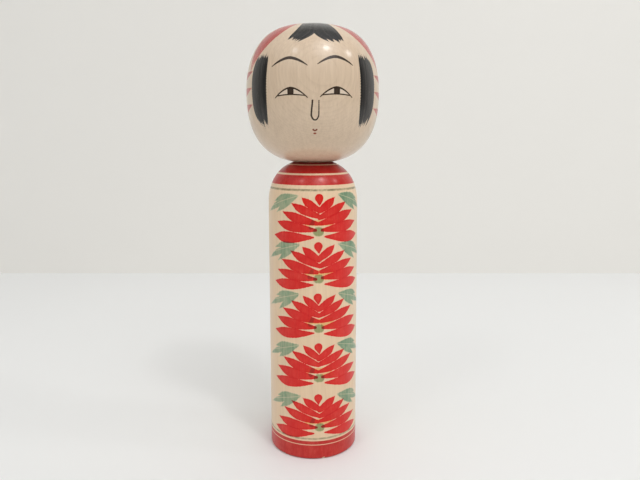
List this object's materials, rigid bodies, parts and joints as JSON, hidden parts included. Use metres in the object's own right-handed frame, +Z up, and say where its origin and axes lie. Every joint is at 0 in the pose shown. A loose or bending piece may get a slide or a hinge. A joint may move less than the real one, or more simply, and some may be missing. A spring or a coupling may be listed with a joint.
{
  "type": "kokeshi doll",
  "caption": "Free-standing turned wooden doll: straight painted body with a rounded shoulder, and a plugged-on round head with an ink-drawn face that can be turned.",
  "frame": {"origin": "centre of the foot, on the surface that the doll stands on", "axes": "+Z up along the turning axis from foot to crown; the face and the painted front look along -Y; +X is to the right of someone who looks at the face"},
  "size_m": [0.0728, 0.0728, 0.24],
  "materials": {
    "painted_body_wood": "satin wax over painted wood",
    "painted_head_wood": "satin wax over painted wood"
  },
  "bodies": {
    "body": {"body": "painted_body_wood"},
    "head": {"head": "painted_head_wood"}
  },
  "joints": [
    {"name": "head_turn", "type": "hinge", "parent": "body", "child": "head", "pos_m": [0, 0, 0.1672], "axis": [0, 0, 1], "continuous": true}
  ]
}
